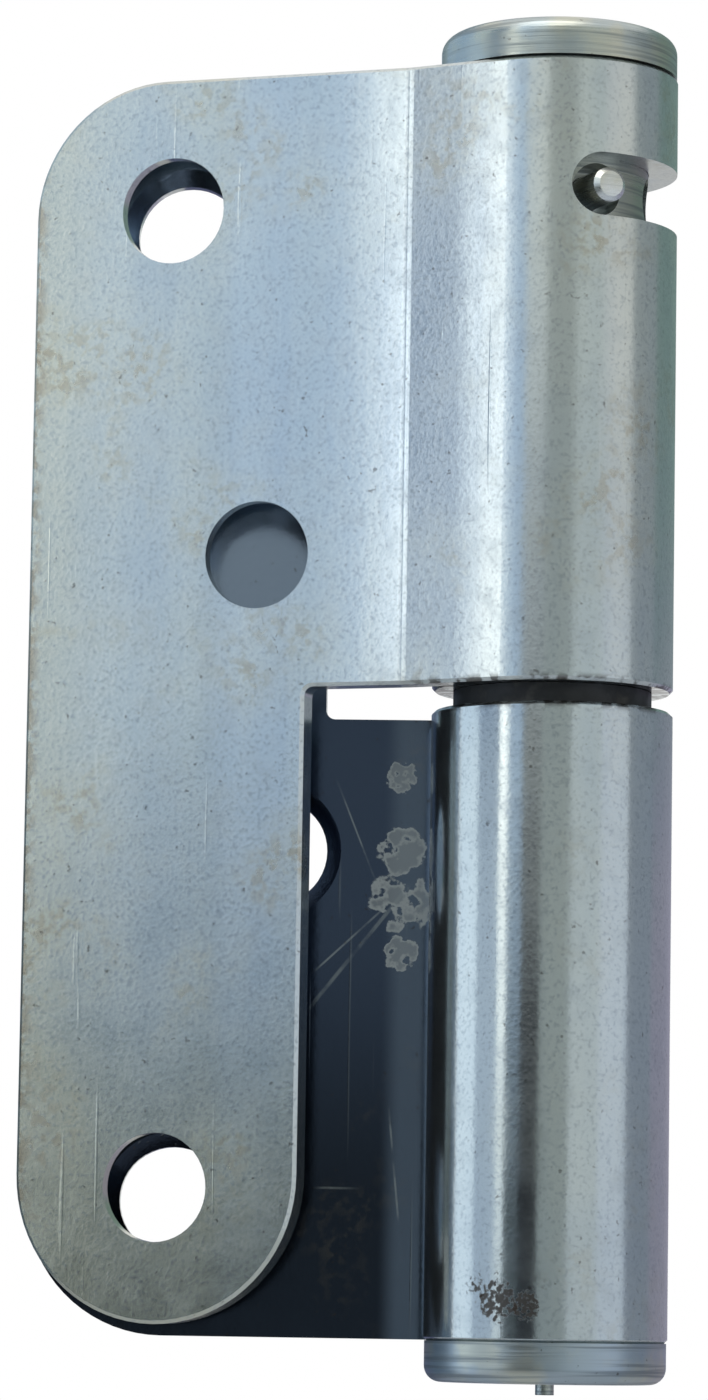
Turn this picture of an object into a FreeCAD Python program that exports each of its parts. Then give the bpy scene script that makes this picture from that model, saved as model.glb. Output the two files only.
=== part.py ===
import FreeCAD, Part
import os
import Sketcher
from math import asin, atan2, cos, degrees, hypot, pi, radians, sin, sqrt, tan

# Self-closing spring hinge, closed and unmounted, in millimetres.
#
# Two identical steel leaves, one turned end for end, share a rolled barrel.
# Each plate is cranked beside the barrel, so that the closed leaves stand in a narrow wedge.
# A torsion spring runs through both barrel halves. Its foot is held by the anchor cap, its head by
# the tension cap, whose stop pin can be moved from hole to hole through a slot in the upper barrel.
#
# The frame: Z runs up along the hinge axis. The lower leaf screws to the door frame with its outer
# face, the plane Y = 0, and the origin lies midway between its two outer screw holes.
# The leaves reach from the barrel towards -X, and the barrel stands at -Y of the frame.

# Sizes that can be set by themselves, each with what it measures.
SIZES = {
    "leaf_height": (109.0, "leaf, from the barrel end to the tip of its leg"),
    "leaf_thickness": (2.5, "sheet that the leaves are stamped and rolled from"),
    "leg_width": (25.6, "narrow leg of a leaf"),
    "tip_corner_radius": (12.0, "rounded outer corner beside the barrel half"),
    "notch_radius": (0.8, "inner corner where the leg leaves the broad part"),
    "screw_setback": (32.7, "hinge axis to the outer screw holes"),
    "screw_margin": (11.7, "outer screw holes, from the nearer end of the leaf"),
    "middle_setback": (24.4, "hinge axis to the middle screw hole"),
    "middle_margin": (11.6, "middle screw hole, from the notch edge of the broad part"),
    "screw_hole_diameter": (9.4, "through hole for a screw"),
    "countersink_diameter": (12.0, "mouth of the screw hole on the inner face"),
    "barrel_diameter": (20.9, "outside of the rolled barrel"),
    "crank_angle": (10.0, "neck beside the barrel against the plate"),
    "crease_setback": (11.1, "hinge axis to the crease between neck and plate, on the outer face"),
    "crease_radius": (5.0, "bend at the crease, on the outer face"),
    "barrel_length": (54.1, "each barrel half"),
    "barrel_gap": (1.8, "between the two barrel halves"),
    "edge_break": (0.3, "rolled-over edge round the outer face of a leaf and its barrel ends"),
    "seam_gap": (0.3, "open joint where the rolled sheet meets the plate"),
    "tip_clearance": (0.3, "between the closed leaves at their tips"),
    "cap_inset": (0.1, "head of a cap, inside the outer surface of the barrel"),
    "cap_head_height": (3.5, "thickness of a head"),
    "cap_edge_radius": (1.4, "rounded outer edge of a head"),
    "cap_lift": (0.15, "running gap under the head of the tension cap"),
    "plug_clearance": (0.05, "between a turning piece and the barrel bore, on the radius"),
    "tension_plug_length": (18.0, "body of the tension cap inside the barrel"),
    "anchor_plug_length": (12.0, "body of the anchor cap inside the barrel"),
    "pip_diameter": (1.6, "turned pip under the anchor cap"),
    "pip_height": (1.0, "turned pip under the anchor cap"),
    "slot_drop": (11.1, "barrel rim down to the middle of the tension slot"),
    "slot_height": (5.5, "width of the tension slot along the axis"),
    "slot_first_angle": (37.2, "first round end of the slot, from the leaf's outer normal"),
    "slot_last_angle": (162.2, "last round end of the slot, from the leaf's outer normal"),
    "bar_hole_count": (6, "radial holes round the tension cap"),
    "bar_hole_diameter": (4.6, "mouth of a radial hole, which takes the tensioning bar"),
    "bar_hole_depth": (2.5, "mouth of a radial hole"),
    "pin_angle": (41.0, "stop pin, from the leaf's outer normal"),
    "pin_diameter": (3.0, "stop pin"),
    "pin_length": (9.7, "stop pin"),
    "pin_bevel": (0.4, "ends of the stop pin"),
    "pin_proud": (0.15, "how far the stop pin stands out of the barrel"),
    "pin_clearance": (0.05, "between the stop pin and its hole, on the radius"),
    "sleeve_wall": (0.9, "pivot sleeve that lines both barrel halves"),
    "sleeve_reach": (13.0, "pivot sleeve, from mid height into each barrel half"),
    "washer_inset": (1.85, "rim of the thrust washer, inside the outer surface of the barrel"),
    "washer_clearance": (0.05, "above and below the thrust washer"),
    "spring_clearance": (0.4, "between the torsion spring and the pivot sleeve"),
    "spring_wire": (2.6, "torsion spring wire"),
    "spring_pitch": (4.4, "between neighbouring turns"),
    "spring_tang": (3.6, "straight end of the wire, seated in a cap"),
    "tang_clearance": (0.1, "between a wire end and its seat, on the radius"),
}

doc = FreeCAD.newDocument("SpringHinge")
sheet = doc.addObject("Spreadsheet::Sheet", "Sizes")
for row, (alias, (number, meaning)) in enumerate(SIZES.items(), start=1):
    sheet.set(f"A{row}", meaning)
    sheet.set(f"B{row}", str(number))
    sheet.setAlias(f"B{row}", alias)
doc.recompute()


def size(alias):
    """The number in the cell with this alias."""
    return float(sheet.get(alias))


# Lengths that several pieces share, as expressions over the sheet.
BARREL_RADIUS = "Sizes.barrel_diameter / 2"
BORE_RADIUS = f"({BARREL_RADIUS} - Sizes.leaf_thickness)"
PLUG_RADIUS = f"({BORE_RADIUS} - Sizes.plug_clearance)"
OUTER_FACE = (f"(({BARREL_RADIUS} - Sizes.crease_setback * sin(Sizes.crank_angle))"
              " / cos(Sizes.crank_angle))")
LEAF_TIP = "(Sizes.screw_setback + Sizes.leg_width / 2)"
LEG_INNER = "(Sizes.screw_setback - Sizes.leg_width / 2)"
BARREL_START = "Sizes.barrel_gap / 2"
BARREL_END = f"({BARREL_START} + Sizes.barrel_length)"
LEG_SCREW = f"(Sizes.leaf_height - {BARREL_END} - Sizes.screw_margin)"
LEG_ROUND = f"(Sizes.leaf_height - {BARREL_END} - Sizes.leg_width / 2)"
BARREL_SCREW = f"({BARREL_END} - Sizes.screw_margin)"
MIDDLE_SCREW = f"({BARREL_START} + Sizes.middle_margin)"
SINK_DEPTH = "(Sizes.countersink_diameter - Sizes.screw_hole_diameter) / 2"
CAP_RADIUS = f"({BARREL_RADIUS} - Sizes.cap_inset)"
SLEEVE_INNER = f"({PLUG_RADIUS} - Sizes.sleeve_wall)"
SPRING_RADIUS = f"({SLEEVE_INNER} - Sizes.spring_clearance - Sizes.spring_wire / 2)"

# The same lengths as numbers, for placing pieces and first guesses in the sketches.
barrel_radius = size("barrel_diameter") / 2
bore_radius = barrel_radius - size("leaf_thickness")
crank = radians(size("crank_angle"))
outer_face = (barrel_radius - size("crease_setback") * sin(crank)) / cos(crank)
inner_face = outer_face - size("leaf_thickness")
inner_crease = size("crease_setback") - size("leaf_thickness") * tan(crank / 2)
leaf_tip = size("screw_setback") + size("leg_width") / 2
barrel_start = size("barrel_gap") / 2
barrel_end = barrel_start + size("barrel_length")
leaf_middle = barrel_end - size("leaf_height") / 2
middle_level = barrel_end - size("slot_drop")

# The closed leaves touch at their tips, so their plates stand at this angle to each other.
closed_angle = degrees(atan2(inner_face, leaf_tip)
                       + asin((inner_face - size("tip_clearance")) / hypot(leaf_tip, inner_face)))

# The stop pin's direction about the hinge axis, from +X, in the closed hinge.
pin_direction = 270.0 - closed_angle + size("pin_angle")

X_AXIS = FreeCAD.Vector(1, 0, 0)
Y_AXIS = FreeCAD.Vector(0, 1, 0)
Z_AXIS = FreeCAD.Vector(0, 0, 1)
ORIGIN = FreeCAD.Vector(0, 0, 0)

# Edges are picked by their place, to within this length.
NEAR = 0.01

# The smallest change of volume, in cubic millimetres, that shows that a feature took effect.
LEAST_CHANGE = 0.01

# How far a cut reaches past the surface that it opens.
OVERRUN = 1.0

# The straight wire ends are a little thinner than the coil, so that no two surfaces lie in one.
TANG_SHARE = 0.98

# Every piece is drawn about the hinge axis, with height 0 midway between the barrel halves.
HINGE_CENTRE = FreeCAD.Vector(size("screw_setback"), -outer_face, leaf_middle)


# Helpers for sketches and features

def new_body(label):
    """An empty body that carries the label of its piece."""
    body = doc.addObject("PartDesign::Body", label)
    body.Label = label
    return body


def new_sketch(body, name, role, turn=0.0):
    """A sketch on one of the body's own origin planes, turned about the hinge axis by degrees."""
    sketch = body.newObject("Sketcher::SketchObject", name)
    plane = next(f for f in body.Origin.OriginFeatures if f.Role == role)
    sketch.AttachmentSupport = [(plane, "")]
    sketch.MapMode = "FlatFace"
    if turn:
        sketch.AttachmentOffset = FreeCAD.Placement(ORIGIN, FreeCAD.Rotation(Y_AXIS, turn))
    return sketch


def locate(sketch, geometry, vertex, across, up):
    """Holds a vertex at two signed distances from the sketch's origin, given as expressions."""
    for kind, expression in (("DistanceX", across), ("DistanceY", up)):
        index = sketch.addConstraint(Sketcher.Constraint(kind, -1, 1, geometry, vertex, 1.0))
        sketch.setExpression(f"Constraints[{index}]", expression)


def add_outline(sketch, corners):
    """A closed outline of straight lines through corners given as pairs of expressions."""
    count = len(corners)
    guess = [FreeCAD.Vector(cos(2 * pi * i / count), sin(2 * pi * i / count), 0) for i in range(count)]
    for i in range(count):
        sketch.addGeometry(Part.LineSegment(guess[i], guess[(i + 1) % count]), False)
    for i in range(count):
        sketch.addConstraint(Sketcher.Constraint("Coincident", i, 2, (i + 1) % count, 1))
    for i, (across, up) in enumerate(corners):
        locate(sketch, i, 1, across, up)


def add_circle(sketch, across, up, radius):
    """A full circle whose centre and radius are expressions."""
    index = sketch.addGeometry(Part.Circle(ORIGIN, Z_AXIS, 1.0), False)
    locate(sketch, index, 3, across, up)
    hold = sketch.addConstraint(Sketcher.Constraint("Radius", index, 1.0))
    sketch.setExpression(f"Constraints[{hold}]", radius)


def solid_change(body, feature, grows):
    """Recomputes and stops the script where a feature has not changed the solid as it should."""
    before = feature.BaseFeature.Shape.Volume if feature.BaseFeature else 0.0
    doc.recompute()
    change = feature.Shape.Volume - before
    if (change > LEAST_CHANGE) != grows or abs(change) < LEAST_CHANGE:
        raise ValueError(f"{body.Label}.{feature.Name} changes the volume by {change:.3f}")


def pad(body, name, sketch, length, reverse=False):
    """Raises a sketch by a length given as an expression."""
    feature = body.newObject("PartDesign::Pad", name)
    feature.Profile = sketch
    feature.setExpression("Length", length)
    feature.Reversed = reverse
    solid_change(body, feature, True)
    return feature


def pocket(body, name, sketch, length, reverse=False):
    """Cuts a sketch to a depth given as an expression."""
    feature = body.newObject("PartDesign::Pocket", name)
    feature.Profile = sketch
    feature.setExpression("Length", length)
    feature.Reversed = reverse
    solid_change(body, feature, False)
    return feature


def revolve(body, name, sketch):
    """Turns a half outline once round the hinge axis."""
    feature = body.newObject("PartDesign::Revolution", name)
    feature.Profile = sketch
    feature.ReferenceAxis = (sketch, ["V_Axis"])
    feature.Angle = 360.0
    solid_change(body, feature, True)
    return feature


def dress_edges(body, kind, name, base, chosen, amount):
    """A fillet or chamfer on the edges of the base feature for which chosen(edge) is true."""
    doc.recompute()
    names = [f"Edge{i}" for i, edge in enumerate(base.Shape.Edges, start=1) if chosen(edge)]
    if not names:
        raise ValueError(f"{body.Label}.{name} found no edge")
    feature = body.newObject(f"PartDesign::{kind}", name)
    feature.Base = (base, names)
    feature.setExpression("Radius" if kind == "Fillet" else "Size", amount)
    doc.recompute()
    return feature


def upright(edge, across, height):
    """True for an edge through the sheet that stands at this place in the leaf's plane."""
    ends = [v.Point for v in edge.Vertexes]
    return (len(ends) == 2 and abs(ends[0].y - ends[1].y) > NEAR
            and all(abs(p.x - across) < NEAR and abs(p.z - height) < NEAR for p in ends))


# Leaves

def neck_point(along, out):
    """A point beside the barrel: along the neck from the tangent point, and out from the hinge axis."""
    return FreeCAD.Vector(-along * cos(crank) - out * sin(crank), out * cos(crank) - along * sin(crank), 0)


def neck_section(body, label):
    """The section of neck and barrel: the sheet leaves the plate at the crease, touches the barrel's
    circle and rolls round until its lip nearly meets the neck's inner face.
    """
    section = new_sketch(body, f"{label}_section", "XY_Plane")
    section.setExpression("AttachmentOffset.Base.z", f"-{BARREL_END}")
    lip_level = bore_radius - size("seam_gap")
    lip_ends = [neck_point(sqrt(r ** 2 - lip_level ** 2), lip_level) for r in (bore_radius, barrel_radius)]
    crease = FreeCAD.Vector(-size("crease_setback"), outer_face, 0)
    plate_end = FreeCAD.Vector(-size("crease_setback"), inner_face, 0)
    bend = FreeCAD.Vector(-inner_crease, inner_face, 0)

    arcs = []
    for radius, lip_end in ((barrel_radius, lip_ends[1]), (bore_radius, lip_ends[0])):
        circle = Part.Circle(ORIGIN, Z_AXIS, radius)
        lip_angle = atan2(lip_end.y, lip_end.x)
        arcs.append(section.addGeometry(Part.ArcOfCircle(circle, lip_angle, 2.5 * pi + crank), False))
    outer, inner = arcs
    neck_outer = section.addGeometry(Part.LineSegment(neck_point(0, barrel_radius), crease), False)
    joint = section.addGeometry(Part.LineSegment(crease, plate_end), False)
    flat = section.addGeometry(Part.LineSegment(plate_end, bend), False)
    neck_inner = section.addGeometry(Part.LineSegment(bend, neck_point(0, bore_radius)), False)
    lip = section.addGeometry(Part.LineSegment(*lip_ends), False)

    def hold(*parts):
        return section.addConstraint(Sketcher.Constraint(*parts))

    for arc, radius, formula in ((outer, barrel_radius, BARREL_RADIUS), (inner, bore_radius, BORE_RADIUS)):
        hold("Coincident", arc, 3, -1, 1)
        section.setExpression(f"Constraints[{hold('Radius', arc, radius)}]", formula)
    hold("Tangent", outer, 2, neck_outer, 1)
    hold("Tangent", inner, 2, neck_inner, 2)
    hold("Coincident", neck_outer, 2, joint, 1)
    hold("Coincident", joint, 2, flat, 1)
    hold("Coincident", flat, 2, neck_inner, 1)
    hold("Coincident", lip, 1, inner, 1)
    hold("Coincident", lip, 2, outer, 1)
    hold("Vertical", joint)
    hold("Horizontal", flat)
    hold("Parallel", neck_inner, neck_outer)
    hold("Parallel", lip, neck_outer)
    held = hold("DistanceX", joint, 1, -1, 1, size("crease_setback"))
    section.setExpression(f"Constraints[{held}]", "Sizes.crease_setback")
    held = hold("DistanceY", -1, 1, joint, 1, outer_face)
    section.setExpression(f"Constraints[{held}]", OUTER_FACE)
    held = hold("DistanceY", joint, 2, joint, 1, size("leaf_thickness"))
    section.setExpression(f"Constraints[{held}]", "Sizes.leaf_thickness")
    held = hold("Distance", lip, 1, neck_inner, size("seam_gap"))
    section.setExpression(f"Constraints[{held}]", "Sizes.seam_gap")


def leaf(label):
    """A stamped leaf: plate, leg, countersunk holes, and the neck and barrel half rolled from it.

    It is drawn as the lower leaf, with its outer face at +Y and its barrel half below mid height.
    """
    body = new_body(label)

    # The plate in the XZ plane, whose sketch normal is -Y, from the outer face inwards.
    outline = new_sketch(body, f"{label}_outline", "XZ_Plane")
    outline.setExpression("AttachmentOffset.Base.z", f"-{OUTER_FACE}")
    add_outline(outline, [
        (f"-{LEAF_TIP}", f"-{BARREL_END}"),
        ("-Sizes.crease_setback", f"-{BARREL_END}"),
        ("-Sizes.crease_setback", f"-({BARREL_START})"),
        (f"-{LEG_INNER}", f"-({BARREL_START})"),
        (f"-{LEG_INNER}", LEG_ROUND),
        (f"-{LEAF_TIP}", LEG_ROUND),
    ])
    pad(body, f"{label}_plate", outline, "Sizes.leaf_thickness")

    # The leg ends in a half round as wide as itself.
    round_end = new_sketch(body, f"{label}_leg_round", "XZ_Plane")
    round_end.setExpression("AttachmentOffset.Base.z", f"-{OUTER_FACE}")
    add_circle(round_end, "-Sizes.screw_setback", LEG_ROUND, "Sizes.leg_width / 2")
    pad(body, f"{label}_leg_end", round_end, "Sizes.leaf_thickness")

    neck_section(body, label)
    pad(body, f"{label}_barrel", body.getObject(f"{label}_section"), "Sizes.barrel_length")

    # Three screw holes, countersunk from the inner face.
    holes = new_sketch(body, f"{label}_hole_circles", "XZ_Plane")
    holes.setExpression("AttachmentOffset.Base.z", f"-{OUTER_FACE}")
    add_circle(holes, "-Sizes.screw_setback", LEG_SCREW, "Sizes.screw_hole_diameter / 2")
    add_circle(holes, "-Sizes.screw_setback", f"-{BARREL_SCREW}", "Sizes.screw_hole_diameter / 2")
    add_circle(holes, "-Sizes.middle_setback", f"-{MIDDLE_SCREW}", "Sizes.screw_hole_diameter / 2")
    drilled = pocket(body, f"{label}_holes", holes, "Sizes.leaf_thickness", True)

    def hole_mouth(edge):
        """The circle of a screw hole on the inner face."""
        return (isinstance(edge.Curve, Part.Circle) and abs(edge.BoundBox.YLength) < NEAR
                and abs(edge.Curve.Radius - size("screw_hole_diameter") / 2) < NEAR
                and abs(edge.Curve.Center.y - inner_face) < NEAR)

    sunk = dress_edges(body, "Chamfer", f"{label}_countersinks", drilled, hole_mouth, SINK_DEPTH)

    corner = dress_edges(body, "Fillet", f"{label}_tip_corner", sunk,
                         lambda edge: upright(edge, -leaf_tip, -barrel_end), "Sizes.tip_corner_radius")
    leg_inner = size("screw_setback") - size("leg_width") / 2
    notch = dress_edges(body, "Fillet", f"{label}_notch_corner", corner,
                        lambda edge: upright(edge, -leg_inner, -barrel_start), "Sizes.notch_radius")

    def crease_line(distance, face):
        """Picks the straight crease at this distance from the hinge axis on this face."""
        return lambda edge: (edge.BoundBox.ZLength > NEAR
                             and abs(edge.BoundBox.XMax + distance) < NEAR > edge.BoundBox.XLength
                             and abs(edge.BoundBox.YMax - face) < NEAR > edge.BoundBox.YLength)

    bent_out = dress_edges(body, "Fillet", f"{label}_outer_bend", notch,
                           crease_line(size("crease_setback"), outer_face), "Sizes.crease_radius")
    bent = dress_edges(body, "Fillet", f"{label}_inner_bend", bent_out,
                       crease_line(inner_crease, inner_face), "Sizes.crease_radius + Sizes.leaf_thickness")

    def outer_rim(edge):
        """An edge of the outline on the outer face, or of a barrel end on the outside."""
        box = edge.BoundBox
        is_circle = isinstance(edge.Curve, Part.Circle)
        on_plate = box.YMin > outer_face - NEAR and box.YMax < outer_face + NEAR and box.XMax < NEAR
        in_hole = is_circle and abs(edge.Curve.Radius - size("screw_hole_diameter") / 2) < NEAR
        at_bend = box.XLength < NEAR and box.XMin > NEAR - leg_inner
        on_barrel = is_circle and box.ZLength < NEAR and abs(edge.Curve.Radius - barrel_radius) < NEAR
        return on_barrel or (on_plate and not in_hole and not at_bend)

    dress_edges(body, "Chamfer", f"{label}_edge_break", bent, outer_rim, "Sizes.edge_break")
    return body


def cut_tension_slot(body):
    """The slot round the barrel of the upper leaf, with two round ends, in the leaf's own frame."""
    # Angles are measured from the outer normal, so a turn about the axis starts 90 degrees earlier.
    first = 90.0 - size("slot_first_angle")
    last = 90.0 - size("slot_last_angle")
    level = f"-({BARREL_END} - Sizes.slot_drop)"
    window = new_sketch(body, "slot_window", "XZ_Plane", (first + last) / 2)
    low = f"{level} - Sizes.slot_height / 2"
    high = f"{level} + Sizes.slot_height / 2"
    add_outline(window, [
        (f"{BORE_RADIUS} - {OVERRUN}", low),
        (f"{BARREL_RADIUS} + {OVERRUN}", low),
        (f"{BARREL_RADIUS} + {OVERRUN}", high),
        (f"{BORE_RADIUS} - {OVERRUN}", high),
    ])
    groove = body.newObject("PartDesign::Groove", "tension_slot")
    groove.Profile = window
    groove.ReferenceAxis = (window, ["V_Axis"])
    groove.setExpression("Angle", "Sizes.slot_last_angle - Sizes.slot_first_angle")
    groove.Midplane = True
    solid_change(body, groove, False)
    for name, angle in (("slot_first_end", first), ("slot_last_end", last)):
        circle = new_sketch(body, f"{name}_circle", "XZ_Plane", angle + 90.0)
        add_circle(circle, "0", level, "Sizes.slot_height / 2")
        pocket(body, name, circle, f"{BARREL_RADIUS} + {OVERRUN}", True)


lower_leaf = leaf("lower_leaf")
upper_leaf = leaf("upper_leaf")
cut_tension_slot(upper_leaf)


# Caps

def turned_piece(label, corners):
    """A body turned about the hinge axis from a half outline of radius and height expressions."""
    body = new_body(label)
    half = new_sketch(body, f"{label}_half", "XZ_Plane")
    add_outline(half, corners)
    return body, revolve(body, f"{label}_turned", half)


def rim_at(height, radius):
    """Picks the circle of this radius at this height."""
    def chosen(edge):
        return (isinstance(edge.Curve, Part.Circle) and abs(edge.Curve.Center.z - height) < NEAR
                and abs(edge.Curve.Radius - radius) < NEAR)
    return chosen


def tang_seat(body, name, level, depth, reverse):
    """A round seat for a wire end, off the axis, cut from a level along the axis."""
    circle = new_sketch(body, f"{name}_circle", "XY_Plane")
    circle.setExpression("AttachmentOffset.Base.z", level)
    add_circle(circle, SPRING_RADIUS, "0", "Sizes.spring_wire / 2 + Sizes.tang_clearance")
    return pocket(body, name, circle, depth, reverse)


cap_radius = barrel_radius - size("cap_inset")

# The tension cap: its head runs just clear of the barrel, its plug carries the radial holes.
HEAD_UNDER = f"({BARREL_END} + Sizes.cap_lift)"
HEAD_TOP = f"({HEAD_UNDER} + Sizes.cap_head_height)"
PLUG_FOOT = f"({BARREL_END} - Sizes.tension_plug_length)"
tension_cap, turned = turned_piece("tension_cap", [
    ("0", PLUG_FOOT),
    (PLUG_RADIUS, PLUG_FOOT),
    (PLUG_RADIUS, HEAD_UNDER),
    (CAP_RADIUS, HEAD_UNDER),
    (CAP_RADIUS, HEAD_TOP),
    ("0", HEAD_TOP),
])
head_top = barrel_end + size("cap_lift") + size("cap_head_height")
dress_edges(tension_cap, "Fillet", "tension_cap_edge", turned, rim_at(head_top, cap_radius),
            "Sizes.cap_edge_radius")
tang_seat(tension_cap, "tension_cap_seat", PLUG_FOOT, "Sizes.spring_tang + Sizes.tang_clearance", True)

# One radial hole, wide at its mouth and narrow at its heart, then repeated round the plug.
hole_level = f"{BARREL_END} - Sizes.slot_drop"
narrow_circle = new_sketch(tension_cap, "narrow_circle", "XZ_Plane", 90.0)
add_circle(narrow_circle, "0", hole_level, "Sizes.pin_diameter / 2 + Sizes.pin_clearance")
narrow = pocket(tension_cap, "narrow_hole", narrow_circle, BARREL_RADIUS, True)
mouth_circle = new_sketch(tension_cap, "mouth_circle", "XZ_Plane", 90.0)
mouth_circle.setExpression("AttachmentOffset.Base.x", f"{PLUG_RADIUS} - Sizes.bar_hole_depth")
add_circle(mouth_circle, "0", hole_level, "Sizes.bar_hole_diameter / 2")
mouth = pocket(tension_cap, "mouth_hole", mouth_circle, f"Sizes.bar_hole_depth + {OVERRUN}", True)
ring = tension_cap.newObject("PartDesign::PolarPattern", "bar_holes")
ring.Originals = [narrow, mouth]
ring.Axis = (next(f for f in tension_cap.Origin.OriginFeatures if f.Role == "Z_Axis"), [""])
ring.Angle = 360.0
ring.setExpression("Occurrences", "Sizes.bar_hole_count")
tension_cap.Tip = ring
doc.recompute()

# The anchor cap: pressed into the lower barrel, with the turning pip under its head.
ANCHOR_TOP = f"({BARREL_END} - Sizes.anchor_plug_length)"
ANCHOR_BOTTOM = f"({BARREL_END} + Sizes.cap_head_height)"
anchor_cap, turned = turned_piece("anchor_cap", [
    ("0", f"-{ANCHOR_TOP}"),
    (BORE_RADIUS, f"-{ANCHOR_TOP}"),
    (BORE_RADIUS, f"-{BARREL_END}"),
    (CAP_RADIUS, f"-{BARREL_END}"),
    (CAP_RADIUS, f"-{ANCHOR_BOTTOM}"),
    ("Sizes.pip_diameter / 2", f"-{ANCHOR_BOTTOM}"),
    ("Sizes.pip_diameter / 2", f"-({ANCHOR_BOTTOM} + Sizes.pip_height)"),
    ("0", f"-({ANCHOR_BOTTOM} + Sizes.pip_height)"),
])
anchor_bottom = -(barrel_end + size("cap_head_height"))
dress_edges(anchor_cap, "Fillet", "anchor_cap_edge", turned, rim_at(anchor_bottom, cap_radius),
            "Sizes.cap_edge_radius")
tang_seat(anchor_cap, "anchor_cap_seat", f"-{ANCHOR_TOP}", "Sizes.spring_tang + Sizes.tang_clearance", False)


# Pivot pieces

pivot_sleeve, _ = turned_piece("pivot_sleeve", [
    (SLEEVE_INNER, "-Sizes.sleeve_reach"),
    (PLUG_RADIUS, "-Sizes.sleeve_reach"),
    (PLUG_RADIUS, "Sizes.sleeve_reach"),
    (SLEEVE_INNER, "Sizes.sleeve_reach"),
])

WASHER_HALF = "(Sizes.barrel_gap / 2 - Sizes.washer_clearance)"
WASHER_RADIUS = f"({BARREL_RADIUS} - Sizes.washer_inset)"
thrust_washer, _ = turned_piece("thrust_washer", [
    (f"{PLUG_RADIUS} + Sizes.plug_clearance", f"-{WASHER_HALF}"),
    (WASHER_RADIUS, f"-{WASHER_HALF}"),
    (WASHER_RADIUS, WASHER_HALF),
    (f"{PLUG_RADIUS} + Sizes.plug_clearance", WASHER_HALF),
])

# The stop pin lies along X here, with its outer end where it stands out of the barrel.
stop_pin = new_body("stop_pin")
pin_circle = new_sketch(stop_pin, "pin_circle", "YZ_Plane")
PIN_TIP = f"({BARREL_RADIUS} + Sizes.pin_proud)"
pin_circle.setExpression("AttachmentOffset.Base.z", f"{PIN_TIP} - Sizes.pin_length")
add_circle(pin_circle, "0", "0", "Sizes.pin_diameter / 2")
pin_rod = pad(stop_pin, "pin_rod", pin_circle, "Sizes.pin_length")
dress_edges(stop_pin, "Chamfer", "pin_ends", pin_rod,
            lambda edge: isinstance(edge.Curve, Part.Circle), "Sizes.pin_bevel")


# Torsion spring

def spring_shape():
    """The coil from cap to cap, with a straight wire end along the axis at its foot and its head.

    It starts over the seat in the anchor cap and ends under the seat in the tension cap.
    """
    wire_radius = size("spring_wire") / 2
    sleeve_inner = bore_radius - size("plug_clearance") - size("sleeve_wall")
    radius = sleeve_inner - size("spring_clearance") - wire_radius
    foot = -(barrel_end - size("anchor_plug_length")) + wire_radius
    head = barrel_end - size("tension_plug_length") - wire_radius
    part_turn = pin_direction / 360.0
    turns = round((head - foot) / size("spring_pitch") - part_turn) + part_turn
    pitch = (head - foot) / turns
    helix = Part.makeHelix(pitch, head - foot, radius)
    start = FreeCAD.Vector(radius, 0, 0)
    slope = FreeCAD.Vector(0, 2 * pi * radius, pitch)
    profile = Part.Wire([Part.makeCircle(wire_radius, start, slope)])
    coil = Part.Wire(helix.Edges).makePipeShell([profile], True, True)
    coil.translate(FreeCAD.Vector(0, 0, foot))
    reach = size("spring_tang") + wire_radius
    tang_radius = TANG_SHARE * wire_radius
    tail = Part.makeCylinder(tang_radius, reach, FreeCAD.Vector(radius, 0, foot), -Z_AXIS)
    end = FreeCAD.Vector(radius * cos(2 * pi * turns), radius * sin(2 * pi * turns), head)
    nose = Part.makeCylinder(tang_radius, reach, end, Z_AXIS)
    return coil.fuse([tail, nose]).removeSplitter()


torsion_spring = doc.addObject("Part::Feature", "torsion_spring")
torsion_spring.Label = "torsion_spring"
torsion_spring.Shape = spring_shape()


# Places in the closed hinge

level = FreeCAD.Placement(HINGE_CENTRE, FreeCAD.Rotation())
turn_over = FreeCAD.Rotation(X_AXIS, 180.0)
close_leaf = FreeCAD.Rotation(Z_AXIS, -closed_angle)
pin_height = HINGE_CENTRE + FreeCAD.Vector(0, 0, middle_level)

for piece in (lower_leaf, anchor_cap, pivot_sleeve, thrust_washer, torsion_spring):
    piece.Placement = level
upper_leaf.Placement = FreeCAD.Placement(HINGE_CENTRE, close_leaf.multiply(turn_over))
tension_cap.Placement = FreeCAD.Placement(HINGE_CENTRE, FreeCAD.Rotation(Z_AXIS, pin_direction))
stop_pin.Placement = FreeCAD.Placement(pin_height, FreeCAD.Rotation(Z_AXIS, pin_direction))
doc.recompute()

PIECES = [lower_leaf, upper_leaf, tension_cap, anchor_cap, stop_pin, pivot_sleeve, thrust_washer,
          torsion_spring]

for item in doc.Objects:
    if "Invalid" in item.State or "Error" in item.State:
        raise ValueError(f"{item.Name} failed: {item.State}")
for piece in PIECES:
    if piece.Shape.isNull() or not piece.Shape.isValid() or len(piece.Shape.Solids) != 1:
        raise ValueError(f"{piece.Label} is not one valid solid")

os.makedirs("parts", exist_ok=True)
for piece in PIECES:
    piece.Shape.exportStep(f"parts/{piece.Label}.step")
    box = piece.Shape.BoundBox
    print(f"{piece.Label}: {piece.Shape.Volume:.1f} mm3, "
          f"X {box.XMin:.2f} to {box.XMax:.2f}, Y {box.YMin:.2f} to {box.YMax:.2f}, "
          f"Z {box.ZMin:.2f} to {box.ZMax:.2f}")
print(f"closed angle {closed_angle:.3f}, leaf middle {leaf_middle:.2f}, pin direction {pin_direction:.2f}")
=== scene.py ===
# %% [markdown]
# # A self-closing spring hinge in zinc-plated steel
#
# The object is a door hinge, closed and lying free, seen from its front from about half a metre.
# Its eight pieces come from the frame with their right shapes, so this lesson keeps every one of
# them and spends its effort on finishes and light. Bare plated metal has hardly any colour of its
# own: it shows what stands round it. That is why half of the work here is the studio.

# %% Load the frame
import math

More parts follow.
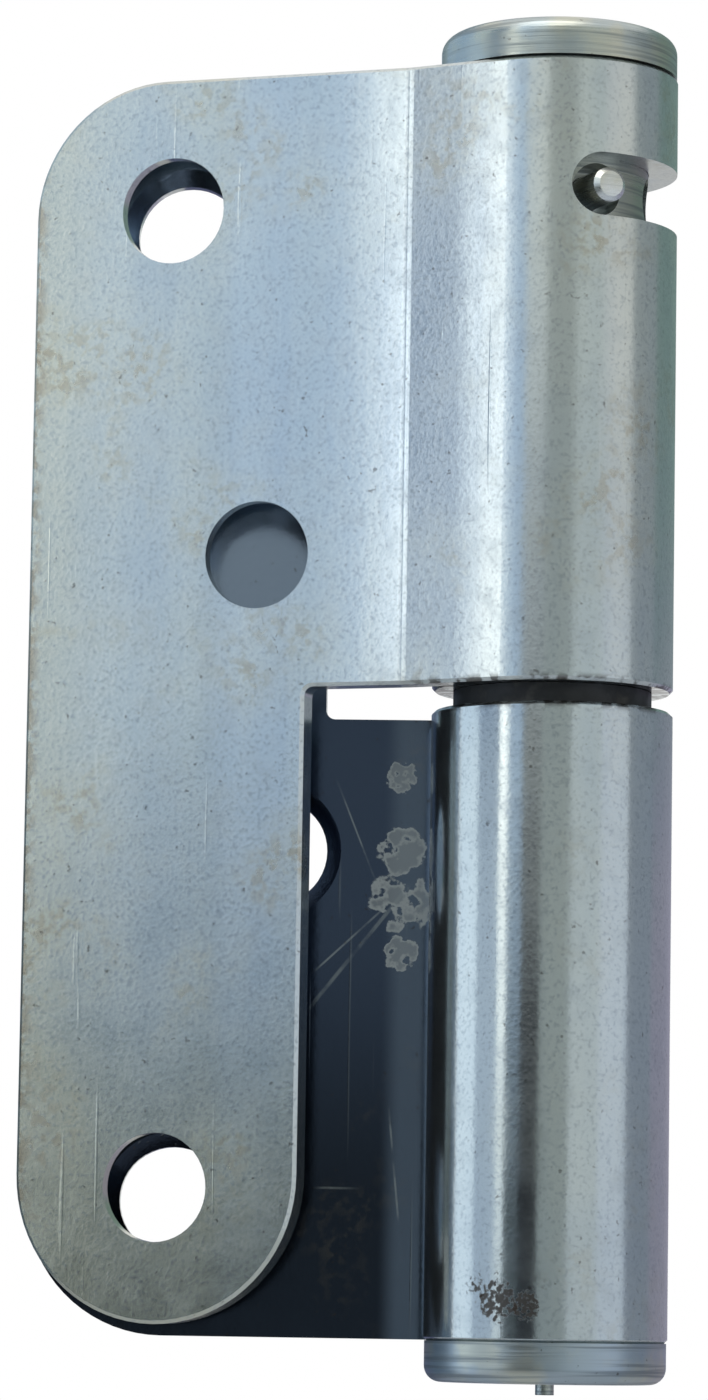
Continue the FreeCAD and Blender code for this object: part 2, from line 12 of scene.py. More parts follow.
import bpy
from mathutils import Matrix, Vector


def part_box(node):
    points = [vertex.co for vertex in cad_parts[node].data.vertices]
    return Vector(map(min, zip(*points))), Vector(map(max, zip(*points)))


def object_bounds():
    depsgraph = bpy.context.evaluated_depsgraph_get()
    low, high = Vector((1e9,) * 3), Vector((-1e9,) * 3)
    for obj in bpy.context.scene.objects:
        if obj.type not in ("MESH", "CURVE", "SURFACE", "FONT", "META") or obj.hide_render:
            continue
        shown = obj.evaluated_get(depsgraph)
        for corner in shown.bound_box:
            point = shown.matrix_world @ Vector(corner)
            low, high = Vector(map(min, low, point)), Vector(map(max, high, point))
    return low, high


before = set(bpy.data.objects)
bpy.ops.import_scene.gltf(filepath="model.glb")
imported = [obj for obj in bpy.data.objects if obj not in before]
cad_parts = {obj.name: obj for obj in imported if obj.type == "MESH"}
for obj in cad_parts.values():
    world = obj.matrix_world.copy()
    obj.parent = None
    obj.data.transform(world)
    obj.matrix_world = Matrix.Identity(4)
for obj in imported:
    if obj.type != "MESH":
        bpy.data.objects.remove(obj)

cad_low, cad_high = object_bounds()
print("CAD box", [round(v * 1000, 1) for v in cad_low], [round(v * 1000, 1) for v in cad_high])

# %% [markdown]
# ## Where things are
#
# Stains, lips and lights are placed by the pieces themselves. The lower barrel half is closed by
# the anchor cap, so the middle of that cap is a point of the hinge axis, and its radius is about
# that of the barrel. The two leaves give the closed hinge's reach towards the tips.

# %% Hinge axis, barrel ends and leaf tips
cap_low, cap_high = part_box("anchor_cap")
lid_low, lid_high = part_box("tension_cap")
leaf_low, leaf_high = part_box("upper_leaf")
rear_low, rear_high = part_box("lower_leaf")
axis_x = (cap_low[0] + cap_high[0]) / 2
axis_y = (cap_low[1] + cap_high[1]) / 2
axis_z = (rear_low[2] + leaf_high[2]) / 2
barrel_radius = (cap_high[0] - cap_low[0]) / 2
tip_x = leaf_low[0]
neck_x = axis_x - barrel_radius - 0.003
hinge_centre = Vector((axis_x, axis_y, axis_z))
print("hinge centre", [round(v * 1000, 2) for v in hinge_centre])
print("barrel radius", round(barrel_radius * 1000, 2))
print("height with both caps", round((lid_high[2] - cap_low[2]) * 1000, 1))

# %% [markdown]
# ## Small tools for finishes
#
# Every finish is a few layers: a patchy base colour, marks that lie on it, a roughness that varies
# with them and a fine relief. One helper makes each kind of layer. They all read Object
# coordinates, so that a stain stays where it is on its piece when the piece swings.

# %% Start of a finish and its noise
def new_finish(name):
    """A metal or plastic to build up: its material, node tree, shader and place on the piece."""
    finish = bpy.data.materials.new(name)
    finish.use_nodes = True
    tree = finish.node_tree
    place = tree.nodes.new("ShaderNodeTexCoord").outputs["Object"]
    return finish, tree, tree.nodes["Principled BSDF"], place


def grain(tree, place, size, stretch=(1, 1, 1), turn=(0, 0, 0), detail=4.0, shift=0.0):
    """Noise whose patches are about this size in metres, drawn out where stretch is below 1."""
    mapping = tree.nodes.new("ShaderNodeMapping")
    mapping.inputs["Scale"].default_value = stretch
    mapping.inputs["Rotation"].default_value = turn
    mapping.inputs["Location"].default_value = (shift, shift, shift)
    noise = tree.nodes.new("ShaderNodeTexNoise")
    noise.inputs["Scale"].default_value = 1 / size
    noise.inputs["Detail"].default_value = detail
    tree.links.new(place, mapping.inputs["Vector"])
    tree.links.new(mapping.outputs["Vector"], noise.inputs["Vector"])
    return noise.outputs["Fac"]


def ramp(tree, value, low, high, start=0.0, end=1.0, kind="SMOOTHSTEP"):
    """Turns a value from start to end as it goes from low to high."""
    node = tree.nodes.new("ShaderNodeMapRange")
    node.interpolation_type = kind
    tree.links.new(value, node.inputs["Value"])
    for name, number in (("From Min", low), ("From Max", high), ("To Min", start), ("To Max", end)):
        node.inputs[name].default_value = number
    return node.outputs["Result"]


print("noise tools ready")


# %% Arithmetic between masks
def combine(tree, operation, first, second):
    """One arithmetic step between a socket and a socket or a number."""
    node = tree.nodes.new("ShaderNodeMath")
    node.operation = operation
    for index, value in enumerate((first, second)):
        if isinstance(value, (int, float)):
            node.inputs[index].default_value = value
        else:
            tree.links.new(value, node.inputs[index])
    return node.outputs["Value"]


def overlap(tree, *masks):
    """The product of masks and shares, which is 1 only where all of them are."""
    result = masks[0]
    for mask in masks[1:]:
        result = combine(tree, "MULTIPLY", result, mask)
    return result


def total(tree, *values):
    """The sum of values."""
    result = values[0]
    for value in values[1:]:
        result = combine(tree, "ADD", result, value)
    return result


def distance_from(tree, value, level):
    """How far a value lies from a level, on either side."""
    return combine(tree, "ABSOLUTE", combine(tree, "SUBTRACT", value, level), 0)


def along(tree, place):
    """The three coordinates of a place as separate sockets."""
    node = tree.nodes.new("ShaderNodeSeparateXYZ")
    tree.links.new(place, node.inputs[0])
    return node.outputs


print("mask tools ready")


# %% Colour, relief and coat
def dimmed(colour, share):
    """A colour with this share of its light."""
    return tuple(part * share for part in colour)


def lay_over(tree, under, over, mask):
    """Lays a colour over another where the mask is 1."""
    node = tree.nodes.new("ShaderNodeMix")
    node.data_type = "RGBA"
    tree.links.new(mask, node.inputs["Factor"])
    for slot, colour in (("A", under), ("B", over)):
        socket = next(s for s in node.inputs if s.name == slot and s.type == "RGBA")
        if isinstance(colour, tuple):
            socket.default_value = (*colour, 1)
        else:
            tree.links.new(colour, socket)
    return next(s for s in node.outputs if s.type == "RGBA")


def relief(tree, shader, heights):
    """Stacks bump layers, each a height socket and its depth in metres, under the shader."""
    normal = None
    for height, depth in heights:
        bump = tree.nodes.new("ShaderNodeBump")
        bump.inputs["Distance"].default_value = depth
        tree.links.new(height, bump.inputs["Height"])
        if normal:
            tree.links.new(normal, bump.inputs["Normal"])
        normal = bump.outputs["Normal"]
    tree.links.new(normal, shader.inputs["Normal"])


def coat(node_name, finish):
    """Gives a CAD node its finish."""
    shape = bpy.data.objects[node_name]
    shape.data.materials.clear()
    shape.data.materials.append(finish)
    for face in shape.data.polygons:
        face.material_index = 0


print("colour tools ready")

# %% [markdown]
# ## Zinc-plated sheet
#
# The leaves are stamped from sheet, rolled, and plated with zinc. The plating is bluish and
# clouded, and handling has left it with a beige, slightly greenish film, thickest towards the
# tips, with brown specks along the edges and dull stains. Layers of noise at several sizes give
# this: clouds of centimetres, stains of millimetres, specks of tenths, and long thin scratches.

# %% Colours of the plating
zinc_blue = (0.54, 0.60, 0.64)
zinc_pale = (0.67, 0.70, 0.67)
zinc_film = (0.57, 0.555, 0.44)
stain_brown = (0.36, 0.29, 0.20)
rust_dark = (0.06, 0.045, 0.035)
salt_pale = (0.50, 0.52, 0.52)
zinc_metallic = 0.97
print("plating", zinc_blue, "to", zinc_pale, "under a film of", zinc_film)

# %% [markdown]
# Each kind of wear has its own stretch of the sheet, either across it, along x, or up it, along z.
# A stretch is written as the place where the wear is nothing and the place where it is full.

# %% Where the wear lies
film_stretch = (tip_x + 0.021, tip_x + 0.018)
tip_wear = (tip_x + 0.012, tip_x + 0.001)
foot_wear = (axis_z - 0.024, axis_z - 0.046)
edge_stain = (tip_x + 0.014, tip_x)
rim_stretch = (tip_x + 0.0014, tip_x)
lip_across = (axis_x - 0.0135, axis_x - 0.0095)
lip_height = (0.0017, 0.0009)
film_wander = 0.004
print("film from", round(film_stretch[0] * 1000, 1), "mm, tips at", round(tip_x * 1000, 1), "mm")


# %% The noise of the plating
def sheet_grains(tree, place, film):
    """The noise of the plating, from clouds of centimetres down to tenths of a millimetre."""
    return {
        "clouds": grain(tree, place, 0.024, detail=3, shift=film),
        "stains": grain(tree, place, 0.010, detail=10, shift=2 * film),
        "rolled": grain(tree, place, 0.005, (1, 1, 0.05), detail=3),
        "mottle": grain(tree, place, 0.0022, detail=8, shift=0.7),
        "fleck": grain(tree, place, 0.0011, detail=8, shift=1.9),
        "specks": grain(tree, place, 0.0006, detail=6),
        "fine": grain(tree, place, 0.00035, detail=3),
        "long": grain(tree, place, 0.0007, (1, 1, 0.02), (0, 0.06, 0), detail=1),
        "slant": grain(tree, place, 0.0008, (1, 1, 0.05), (0, 0.8, 0), detail=1, shift=0.3),
    }


# %% Plating and film
def plating(tree, grains, shade):
    """The bluish plating itself, clouded, drawn by the rolling and darker in small mottles."""
    cloudy = total(tree, ramp(tree, grains["clouds"], 0.36, 0.66), ramp(tree, grains["rolled"], 0.35, 0.65))
    base = lay_over(tree, dimmed(zinc_blue, shade), dimmed(zinc_pale, shade), overlap(tree, cloudy, 0.5))
    mottled = ramp(tree, grains["mottle"], 0.50, 0.72, 0.0, 0.22)
    return lay_over(tree, base, dimmed(zinc_blue, shade * 0.72), mottled)


def filmed(tree, place, grains, base, shade, film):
    """The beige film over the plating, thickest at the tips and the foot, broken into flecks."""
    wandering = total(tree, along(tree, place)["X"], overlap(tree, grains["clouds"], film_wander))
    tip_half = ramp(tree, wandering, *film_stretch)
    worn = total(tree, ramp(tree, wandering, *tip_wear, 0.0, 0.55),
                 ramp(tree, along(tree, place)["Z"], *foot_wear, 0.0, 0.55))
    patches = overlap(tree, ramp(tree, grains["stains"], 0.45, 0.75, 0.0, 0.5),
                      ramp(tree, grains["fleck"], 0.40, 0.60, 0.4, 1.0))
    thickness = total(tree, overlap(tree, tip_half, 0.3), worn, patches)
    thickness = combine(tree, "MINIMUM", thickness, 1.0)
    base = lay_over(tree, base, dimmed(zinc_film, shade), overlap(tree, thickness, film))
    return lay_over(tree, base, dimmed(zinc_blue, 0.55), ramp(tree, grains["fine"], 0.48, 0.75, 0.0, 0.45))


print("plating and film ready")

# %% [markdown]
# The rear leaf turns its inner face to the viewer, in the shade between the leaves. There the
# plating shows almost black at the foot, deep blue above it and a lighter band at the neck. Light
# alone would need the whole room to be modelled, so this is painted shade in the base colour, and
# the lighter band is a painted reflection. The piece's own normal keeps it off the outer face, and
# soft bounds keep it from ending in a line.

# %% The shaded inner face
# Colours of the painted shade on the inner face, and of the painted reflection at the neck.
painted_shade_blue = (0.050, 0.070, 0.115)
painted_shade_upper = (0.30, 0.37, 0.49)
painted_shade_black = (0.004, 0.007, 0.014)
painted_reflection_neck = (0.13, 0.165, 0.22)
inside_across = (neck_x + 0.004, neck_x + 0.0025)
inside_facing = (-0.3, -0.7)
black_height = (axis_z - 0.016, axis_z - 0.044)
neck_across = (axis_x - 0.0148, axis_x - 0.0128)
open_height = (axis_z + 0.007, axis_z - 0.001)


def shaded_inside(tree, place, base, amount):
    """Paints shade on the inner face by an amount, most where it stands open beside the front leaf."""
    parts = along(tree, place)
    facing = along(tree, tree.nodes.new("ShaderNodeTexCoord").outputs["Normal"])["Y"]
    deep = overlap(tree, ramp(tree, parts["X"], *inside_across), ramp(tree, facing, *inside_facing))
    # Painted shade over the whole inner face.
    base = lay_over(tree, base, painted_shade_upper, overlap(tree, deep, amount))
    # Deeper painted shade, near black at the foot, and the painted reflection at the neck.
    shaded = lay_over(tree, painted_shade_blue, painted_shade_black, ramp(tree, parts["Z"], *black_height))
    shaded = lay_over(tree, shaded, painted_reflection_neck, ramp(tree, parts["X"], *neck_across, 0.0, 0.8))
    open_side = ramp(tree, parts["Z"], *open_height)
    return lay_over(tree, base, shaded, overlap(tree, deep, open_side, amount))


print("inner face shaded from", round(open_height[0] * 1000, 1), "mm down")

# %% [markdown]
# Brown stains gather at the tips and on the stamped rim, and rust on the lips where the two barrel
# halves meet. All of them are broken up by the same flecks, so that they look like one history.


# %% Stains and rust
def stained(tree, place, grains, base, film):
    """Brown stains, worn rim, rusty lips and dark specks, with the mask of the stains."""
    parts = along(tree, place)
    edge = ramp(tree, parts["X"], *edge_stain, 0.0, 0.07)
    broken = ramp(tree, total(tree, grains["stains"], edge), 0.54, 0.76)
    stain_mask = overlap(tree, broken, ramp(tree, grains["fleck"], 0.47, 0.60))
    base = lay_over(tree, base, stain_brown, overlap(tree, stain_mask, 0.55 * film))
    rim_wear = overlap(tree, ramp(tree, parts["X"], *rim_stretch), ramp(tree, grains["fleck"], 0.40, 0.56))
    base = lay_over(tree, base, stain_brown, overlap(tree, rim_wear, 0.8 * film))
    lip = ramp(tree, distance_from(tree, parts["Z"], axis_z), *lip_height)
    lip = overlap(tree, lip, ramp(tree, grains["fleck"], 0.46, 0.56))
    lip_rust = overlap(tree, lip, ramp(tree, parts["X"], *lip_across))
    base = lay_over(tree, base, rust_dark, overlap(tree, lip_rust, 0.85))
    base = lay_over(tree, base, rust_dark, ramp(tree, grains["specks"], 0.66, 0.74, 0.0, 0.55))
    return base, stain_mask


# %% One scratch and one mark
def scratch(tree, place, base, begin, end, width, strength):
    """One straight pale scratch between two points given as x and z, a little broken."""
    run = Vector((end[0] - begin[0], end[1] - begin[1]))
    unit = run.normalized()
    parts = along(tree, place)
    from_x = combine(tree, "SUBTRACT", parts["X"], begin[0])
    from_z = combine(tree, "SUBTRACT", parts["Z"], begin[1])
    travel = total(tree, overlap(tree, from_x, unit.x), overlap(tree, from_z, unit.y))
    aside = combine(tree, "SUBTRACT", overlap(tree, from_x, unit.y), overlap(tree, from_z, unit.x))
    line = ramp(tree, distance_from(tree, aside, 0), width, width * 0.4)
    begun = ramp(tree, travel, 0, 0.002)
    not_ended = ramp(tree, travel, run.length, run.length - 0.004)
    broken = ramp(tree, grain(tree, place, 0.003, detail=6, shift=begin[0]), 0.35, 0.60)
    mask = overlap(tree, line, overlap(tree, begun, not_ended), broken)
    return lay_over(tree, base, zinc_pale, overlap(tree, mask, strength))


def mark(tree, place, base, colour, middle, reach, strength, hollow):
    """Broken spots of a colour round a place, fading out over a reach in metres.

    A hollow spot keeps most of its colour on its rim, as a dried drop does.
    """
    apart = tree.nodes.new("ShaderNodeVectorMath")
    apart.operation = "DISTANCE"
    apart.inputs[1].default_value = middle
    tree.links.new(place, apart.inputs[0])
    near = ramp(tree, apart.outputs["Value"], reach, reach * 0.3)
    broken = grain(tree, place, reach * (0.30 if hollow else 0.12), detail=8, shift=reach)
    depth = overlap(tree, near, broken)
    spot = ramp(tree, depth, 0.36, 0.42 if hollow else 0.50, 0.0, strength)
    if hollow:
        spot = combine(tree, "SUBTRACT", spot, ramp(tree, depth, 0.43, 0.52, 0.0, strength * 0.5))
    return lay_over(tree, base, colour, spot), spot


print("marks ready")

# %% [markdown]
# The bends of the sheet catch light in broad bands on the front leaf. A little relief widens the
# modelled crease and the run into the barrel, so that these bands come out as soft as they are.

# %% Relief of the sheet
crease_x = axis_x - 0.01296
crease_across = (crease_x - 0.0085, crease_x)
crease_depth = 0.00040
roll_across = (axis_x - 0.0088, axis_x - 0.0008)
roll_depth = 0.00019


def bends(tree, place):
    """The broad relief of the crease and of the run into the barrel."""
    across = along(tree, place)["X"]
    crease = combine(tree, "POWER", ramp(tree, across, *crease_across, kind="LINEAR"), 2.0)
    roll = ramp(tree, across, *roll_across, 1.0, 0.0)
    return ((crease, crease_depth), (roll, roll_depth))


# %% [markdown]
# The two leaves differ: the front one shows its worn outside, the rear one a clean inside, darkened
# by painted shade, with a few pale salt marks beside the barrel and a patch of rust at the barrel's
# foot. So one function makes the sheet, and takes the amount of film and of painted shade and the
# place of those marks.


# %% The sheet's finish
def zinc_sheet(name, film, shade, dullness, scratched, inside=0.0, marks=(), scratches=()):
    """Clouded zinc plating with film, stains, specks and scratches, and patches of its own."""
    finish, tree, shader, place = new_finish(name)
    grains = sheet_grains(tree, place, film)
    base = filmed(tree, place, grains, plating(tree, grains, shade), shade, film)
    # inside is the strength of the painted shade on an inner face.
    if inside:
        base = shaded_inside(tree, place, base, inside)
    base, stain_mask = stained(tree, place, grains, base, film)
    scratch_mask = combine(tree, "MAXIMUM", ramp(tree, grains["long"], 0.72, 0.80),
                           ramp(tree, grains["slant"], 0.74, 0.82))
    base = lay_over(tree, base, zinc_pale, overlap(tree, scratch_mask, scratched))
    rough = total(tree, ramp(tree, grains["stains"], 0.35, 0.70, dullness, dullness + 0.06),
                  ramp(tree, grains["mottle"], 0.40, 0.70, 0.0, 0.03), overlap(tree, stain_mask, 0.04))
    for begin, end, width, strength in scratches:
        base = scratch(tree, place, base, begin, end, width, strength)
    for colour, middle, reach, strength, hollow in marks:
        base, spot = mark(tree, place, base, colour, middle, reach, strength, hollow)
        rough = total(tree, rough, overlap(tree, spot, 0.3))
    tree.links.new(base, shader.inputs["Base Color"])
    tree.links.new(rough, shader.inputs["Roughness"])
    shader.inputs["Metallic"].default_value = zinc_metallic
    small = ((grains["clouds"], 0.00008), (grains["rolled"], 0.00001), (grains["mottle"], 0.000003),
             (grains["specks"], 0.000006), (grains["fine"], 0.000005), (scratch_mask, 0.000006))
    relief(tree, shader, small if inside else bends(tree, place) + small)
    return finish


# %% The front leaf
coat("upper_leaf", zinc_sheet("zinc_sheet_front", film=0.95, shade=0.97, dullness=0.18, scratched=0.05))
print("front leaf coated")

# %% Marks of the rear leaf
# Drop below mid height and reach of each salt mark.
salt_marks = [(salt_pale, (neck_x + 0.0002, rear_high[1] - 0.004, axis_z - drop), reach, 0.9, True)
              for drop, reach in ((0.006, 0.0026), (0.0125, 0.0040), (0.0170, 0.0050), (0.0215, 0.0028))]
# Place left of the axis, rise above the leaf's lower end and reach of each patch of rust.
foot_rust = [(rust_dark, (axis_x - aside, axis_y - barrel_radius, rear_low[2] + rise), reach, 0.9, False)
             for aside, rise, reach in ((0.0068, 0.0046, 0.0040), (0.0042, 0.0034, 0.0036),
                                        (0.0016, 0.0030, 0.0024))]
# Begin and end of each scratch, from the axis and from mid height, then its width and strength.
inside_scratches = [((axis_x + x1, axis_z + z1), (axis_x + x2, axis_z + z2), width, strength)
                    for x1, z1, x2, z2, width, strength in (
                        (-0.0215, -0.0270, -0.0120, -0.0150, 0.00022, 0.25),
                        (-0.0210, -0.0235, -0.0135, -0.0165, 0.00012, 0.35),
                        (-0.0190, -0.0060, -0.0150, -0.0160, 0.00010, 0.30),
                        (-0.0205, -0.0420, -0.0160, -0.0420, 0.00014, 0.40),
                        (-0.0140, -0.0340, -0.0125, -0.0490, 0.00012, 0.30))]

# %% The rear leaf
# The rear leaf gets painted shade on its inner face, at the strength inside.
coat("lower_leaf", zinc_sheet("zinc_sheet_rear", film=0.25, shade=0.95, dullness=0.13, scratched=0.15,
                              inside=0.93, marks=salt_marks + foot_rust, scratches=inside_scratches))
print("rear leaf coated, salt marks", len(salt_marks), "scratches", len(inside_scratches))

# %% [markdown]
# ## Turned steel
#
# The two caps and the pin come off a lathe and are plated too. The tool leaves fine rings, which
# on the side of a cap are level lines. Noise drawn out in the two level directions and short along
# the axis makes them, in colour, roughness and relief at once.

# %% The turned finish
# A near black laid below a level, and the height over which it fades in.
below_level_dark = (0.10, 0.11, 0.12)
below_level_fade = 0.0005
turned_metallic = 0.96


def turned_steel(name, colour, ring_depth, roughness, darker_below=None):
    """Plated turned steel: level tool rings, clouds and a few specks, darker below a level if given."""
    finish, tree, shader, place = new_finish(name)
    rings = grain(tree, place, 0.00035, (0.02, 0.02, 1), detail=3)
    clouds = grain(tree, place, 0.006, detail=5)
    specks = grain(tree, place, 0.0007, detail=4)
    base = lay_over(tree, colour, zinc_film, ramp(tree, clouds, 0.44, 0.62, 0.0, 0.7))
    base = lay_over(tree, base, dimmed(colour, 0.45), ramp(tree, rings, 0.48, 0.66, 0.0, 0.7))
    base = lay_over(tree, base, rust_dark, ramp(tree, specks, 0.68, 0.75, 0.0, 0.6))
    # Darker below a level; on the tension cap this is below the barrel's top.
    if darker_below is not None:
        level = along(tree, place)["Z"]
        base = lay_over(tree, base, below_level_dark, ramp(tree, level, darker_below, darker_below - below_level_fade, 0.0, 0.3))
    tree.links.new(base, shader.inputs["Base Color"])
    tree.links.new(ramp(tree, rings, 0.3, 0.7, roughness, roughness + 0.14), shader.inputs["Roughness"])
    shader.inputs["Metallic"].default_value = turned_metallic
    relief(tree, shader, ((rings, ring_depth), (specks, 0.00001)))
    return finish


# %% Caps, pin and sleeve
cap_green = (0.44, 0.49, 0.49)
cap_blue = (0.40, 0.46, 0.50)
pin_bright = (0.72, 0.75, 0.78)
sleeve_grey = (0.40, 0.42, 0.44)
coat("tension_cap", turned_steel("turned_cap", cap_green, 0.00005, 0.26, leaf_high[2]))
coat("anchor_cap", turned_steel("turned_cap_lower", cap_blue, 0.00004, 0.28))
coat("stop_pin", turned_steel("pin_steel", pin_bright, 0.00001, 0.22))
coat("pivot_sleeve", turned_steel("sleeve_steel", sleeve_grey, 0.00001, 0.35))
print("turned pieces coated")

# %% [markdown]
# ## Spring wire and washer
#
# The spring hides inside the barrel. It is hard-drawn wire, dark with oil that gathers in
# patches. The washer between the barrel halves is a moulded black plastic with a faint dust.

# %% Spring wire
wire_grey = (0.20, 0.20, 0.21)
oil_brown = (0.09, 0.08, 0.07)
wire_metallic = 0.9


def oiled_wire(name):
    """Dark drawn wire under patchy oil."""
    finish, tree, shader, place = new_finish(name)
    oil = grain(tree, place, 0.004, detail=4)
    drawn = grain(tree, place, 0.0004, detail=3)
    base = lay_over(tree, wire_grey, oil_brown, ramp(tree, oil, 0.4, 0.6))
    tree.links.new(base, shader.inputs["Base Color"])
    tree.links.new(ramp(tree, oil, 0.35, 0.65, 0.42, 0.18), shader.inputs["Roughness"])
    shader.inputs["Metallic"].default_value = wire_metallic
    relief(tree, shader, ((drawn, 0.00001),))
    return finish


coat("torsion_spring", oiled_wire("spring_wire"))
print("spring coated")

# %% Washer
washer_black = (0.012, 0.012, 0.013)
dust_grey = (0.06, 0.055, 0.05)


def moulded_plastic(name):
    """Black moulded plastic with a little dust."""
    finish, tree, shader, place = new_finish(name)
    dust = grain(tree, place, 0.002, detail=6)
    base = lay_over(tree, washer_black, dust_grey, ramp(tree, dust, 0.52, 0.72))
    tree.links.new(base, shader.inputs["Base Color"])
    tree.links.new(ramp(tree, dust, 0.3, 0.7, 0.45, 0.7), shader.inputs["Roughness"])
    relief(tree, shader, ((dust, 0.00002),))
    return finish


coat("thrust_washer", moulded_plastic("washer_black"))
print("washer coated")

# %% [markdown]
# ## The camera
#
# The camera stands about 46 centimetres from the hinge, slightly below it and a little towards the
# barrel's side, with a lens of about 135 millimetres. Its place was found by fitting a camera to
# points of the photograph, and then moving it nearer until the outlines agreed as well as they do.

# %% Camera
camera_turn = math.radians(2.56)
camera_rise = math.radians(-6.57)
camera_roll = math.radians(0.90)
camera_distance = 0.457
focal_pixels = 5268
photo_height = 1400
aim_aside = -0.0172
aim_up = 0.00003

back = Vector((math.sin(camera_turn) * math.cos(camera_rise),
               -math.cos(camera_turn) * math.cos(camera_rise), math.sin(camera_rise)))
level_right = Vector((math.cos(camera_turn), math.sin(camera_turn), 0))
straight_up = back.cross(level_right)
right = level_right * math.cos(camera_roll) + straight_up * math.sin(camera_roll)
up = back.cross(right)
spot = hinge_centre + level_right * aim_aside + Vector((0, 0, aim_up)) + back * camera_distance

lens = bpy.data.cameras.new("studio_camera")
lens.sensor_width = 36
lens.lens = focal_pixels / photo_height * lens.sensor_width
lens.clip_start = 0.05
camera = bpy.data.objects.new("studio_camera", lens)
bpy.context.collection.objects.link(camera)
camera.matrix_world = Matrix.Translation(spot) @ Matrix((right, up, back)).transposed().to_4x4()
bpy.context.scene.camera = camera
print("lens", round(lens.lens, 1), "mm, camera at", [round(v, 3) for v in spot])

# %% [markdown]
# ## The studio
#
# A white surround makes the background. The metal would mirror nothing but white there, and look
# like paper, so grey and dark cards stand round the object as upright strips, out of the camera's
# sight. Each is named by where it stands, in degrees round the hinge from the camera's direction.
# A surface that is turned by some angle mirrors the card at twice that angle. The plate is turned
# about 18 degrees away. The camera is near, so the plate shows the cards from 39 degrees on the
# left at its tips to 35 degrees at the crease.

# %% Surround
surround_light = 0.55
scene = bpy.context.scene
scene.view_settings.view_transform = "Standard"
world = bpy.data.worlds.new("white_surround")
scene.world = world
world.use_nodes = True
sky = world.node_tree
surround = sky.nodes["Background"]
surround.inputs["Color"].default_value = (1, 1, 1, 1)
rays = sky.nodes.new("ShaderNodeLightPath")
seen = combine(sky, "MAXIMUM", rays.outputs["Is Camera Ray"], rays.outputs["Is Glossy Ray"])
seen = combine(sky, "MAXIMUM", seen, rays.outputs["Is Transmission Ray"])
sky.links.new(ramp(sky, seen, 0, 1, surround_light, 1.0), surround.inputs["Strength"])
print("surround lights with", surround_light)

# %% One card
card_height = 1.6
card_distance = 0.8


def card(name, bearing, width, foot, head, change):
    """An upright strip at a bearing from the camera's direction, so many degrees wide.

    Its colour goes softly from foot to head over a stretch of heights, because the lower part of
    the hinge mirrors the lower part of the card.
    """
    turn = camera_turn + math.radians(bearing)
    middle = hinge_centre + Vector((math.sin(turn), -math.cos(turn), 0)) * card_distance
    half_width = card_distance * math.tan(math.radians(width / 2))
    aside = Vector((math.cos(turn), math.sin(turn), 0)) * half_width
    lift = Vector((0, 0, card_height / 2))
    mesh = bpy.data.meshes.new(name)
    mesh.from_pydata([middle - aside - lift, middle + aside - lift, middle + aside + lift,
                      middle - aside + lift], [], [(0, 1, 2, 3)])
    strip = bpy.data.objects.new(name, mesh)
    bpy.context.collection.objects.link(strip)
    paint, tree, shader, place = new_finish(name)
    tree.nodes.remove(shader)
    glow = tree.nodes.new("ShaderNodeEmission")
    height = ramp(tree, along(tree, place)["Z"], *change)
    tree.links.new(lay_over(tree, foot, head, height), glow.inputs["Color"])
    tree.links.new(glow.outputs[0], tree.nodes["Material Output"].inputs["Surface"])
    mesh.materials.append(paint)
    strip.visible_camera = False
    return strip


# %% Cards round the hinge
# Heights over which a card changes: near its foot, behind the plate, at its middle and high up.
low_change = (-0.06, 0.09)
plate_change = (-0.06, 0.11)
half_change = (0.03, 0.17)
high_change = (-0.03, 0.25)

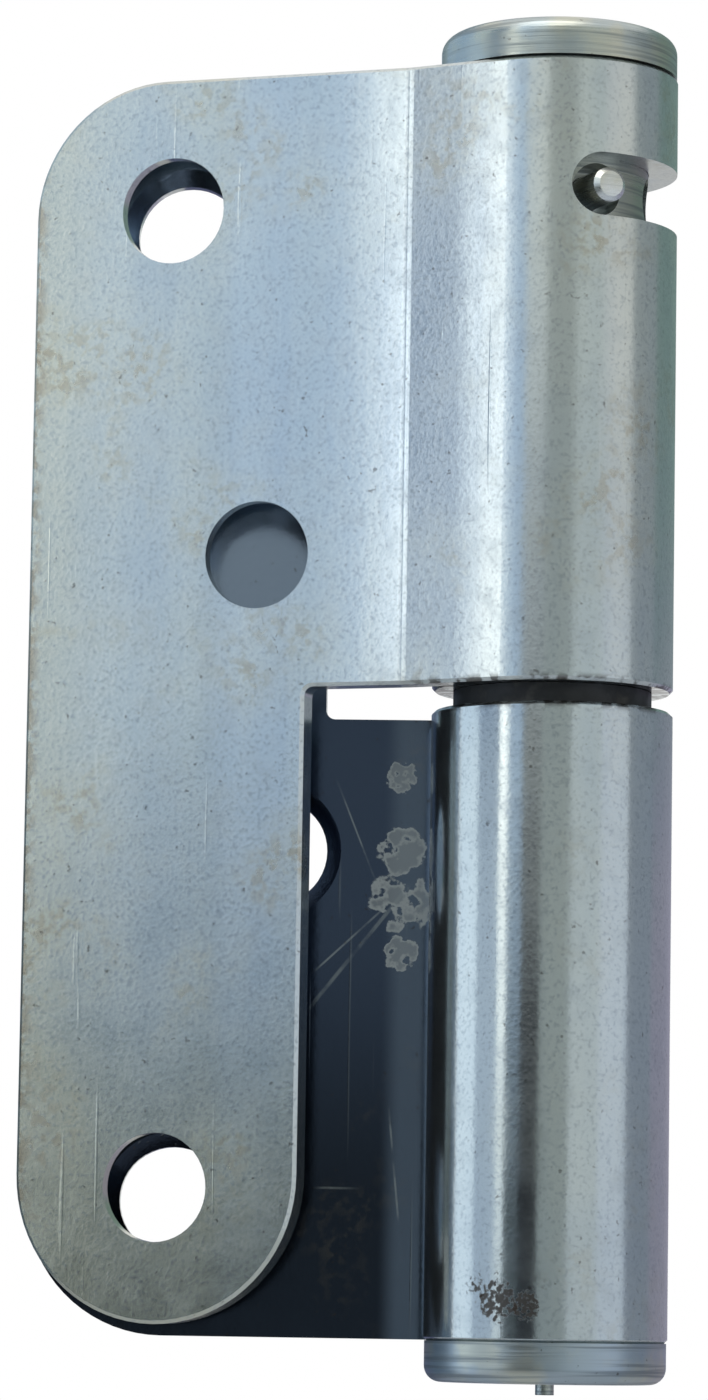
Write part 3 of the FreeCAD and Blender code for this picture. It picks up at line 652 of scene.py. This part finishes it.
# Bearing and width in degrees, colour at the foot, colour at the head and heights of the change.
cards = [
    card("card_far_left", -163, 34, (0.10, 0.11, 0.19), (0.20, 0.28, 0.34), half_change),
    card("card_left", -123, 46, (0.10, 0.15, 0.21), (0.50, 0.66, 0.84), half_change),
    card("card_left_front", -87, 24, (0.95, 1.12, 1.30), (0.72, 0.86, 0.96), half_change),
    card("card_neck", -64, 23, (0.50, 0.62, 0.78), (0.17, 0.25, 0.38), half_change),
    card("card_crease", -48, 9, (0.80, 0.92, 1.02), (1.50, 1.60, 1.65), low_change),
    card("card_plate", -36.5, 14, (0.04, 0.05, 0.042), (0.53, 0.69, 0.90), plate_change),
    card("card_dark", -20.5, 18, (0.004, 0.006, 0.010), (0.86, 0.92, 0.92), high_change),
    card("card_middle", 2.5, 28, (0.33, 0.38, 0.39), (0.39, 0.43, 0.42), half_change),
    card("card_right_front", 30, 33, (0.58, 0.65, 0.70), (0.60, 0.65, 0.63), half_change),
    card("card_right", 61, 30, (0.66, 0.74, 0.86), (0.72, 0.73, 0.71), half_change),
    card("card_far_right", 93, 34, (0.28, 0.32, 0.39), (0.33, 0.37, 0.38), half_change),
    card("card_behind", 140, 60, (0.34, 0.33, 0.42), (0.20, 0.29, 0.27), half_change),
]
print("cards", len(cards))


# %% Lamps
def lamp(name, bearing, rise, distance, size, power):
    """A soft rectangular lamp aimed at the hinge."""
    turn = camera_turn + math.radians(bearing)
    tilt = math.radians(rise)
    away = Vector((math.sin(turn) * math.cos(tilt), -math.cos(turn) * math.cos(tilt), math.sin(tilt)))
    data = bpy.data.lights.new(name, "AREA")
    data.shape = "RECTANGLE"
    data.size, data.size_y = size
    data.energy = power
    made = bpy.data.objects.new(name, data)
    made.location = hinge_centre + away * distance
    made.rotation_mode = "QUATERNION"
    made.rotation_quaternion = away.to_track_quat("Z", "Y")
    bpy.context.collection.objects.link(made)
    return made


# Bearing and rise in degrees, distance and size in metres, and power in watts.
lamps = [
    lamp("lamp_left", -48, 28, 0.75, (0.05, 0.75), 0.12),
    lamp("lamp_top", -20, 62, 0.8, (0.6, 0.5), 1.6),
]
print("lamps", len(lamps))

# %% [markdown]
# ## The floor
#
# The hinge lies free in the photograph, with no surface in sight. The floor stands well below it,
# because the camera looks slightly upwards.

# %% Floor
floor_drop = 0.40
floor_half = 3
floor_pale = (0.88, 0.88, 0.88)
floor_cool = (0.85, 0.85, 0.86)
floor_z = cad_low[2] - floor_drop
floor_mesh = bpy.data.meshes.new("floor")
floor_mesh.from_pydata([(-floor_half, -floor_half, floor_z), (floor_half, -floor_half, floor_z),
                        (floor_half, floor_half, floor_z), (-floor_half, floor_half, floor_z)],
                       [], [(0, 1, 2, 3)])
floor = bpy.data.objects.new("floor", floor_mesh)
bpy.context.collection.objects.link(floor)
floor_paint, floor_tree, floor_shader, floor_place = new_finish("floor_paint")
floor_base = lay_over(floor_tree, floor_pale, floor_cool, grain(floor_tree, floor_place, 0.2))
floor_tree.links.new(floor_base, floor_shader.inputs["Base Color"])
floor_shader.inputs["Roughness"].default_value = 0.8
floor_mesh.materials.append(floor_paint)
print("floor at", round(floor_z, 3), "m")
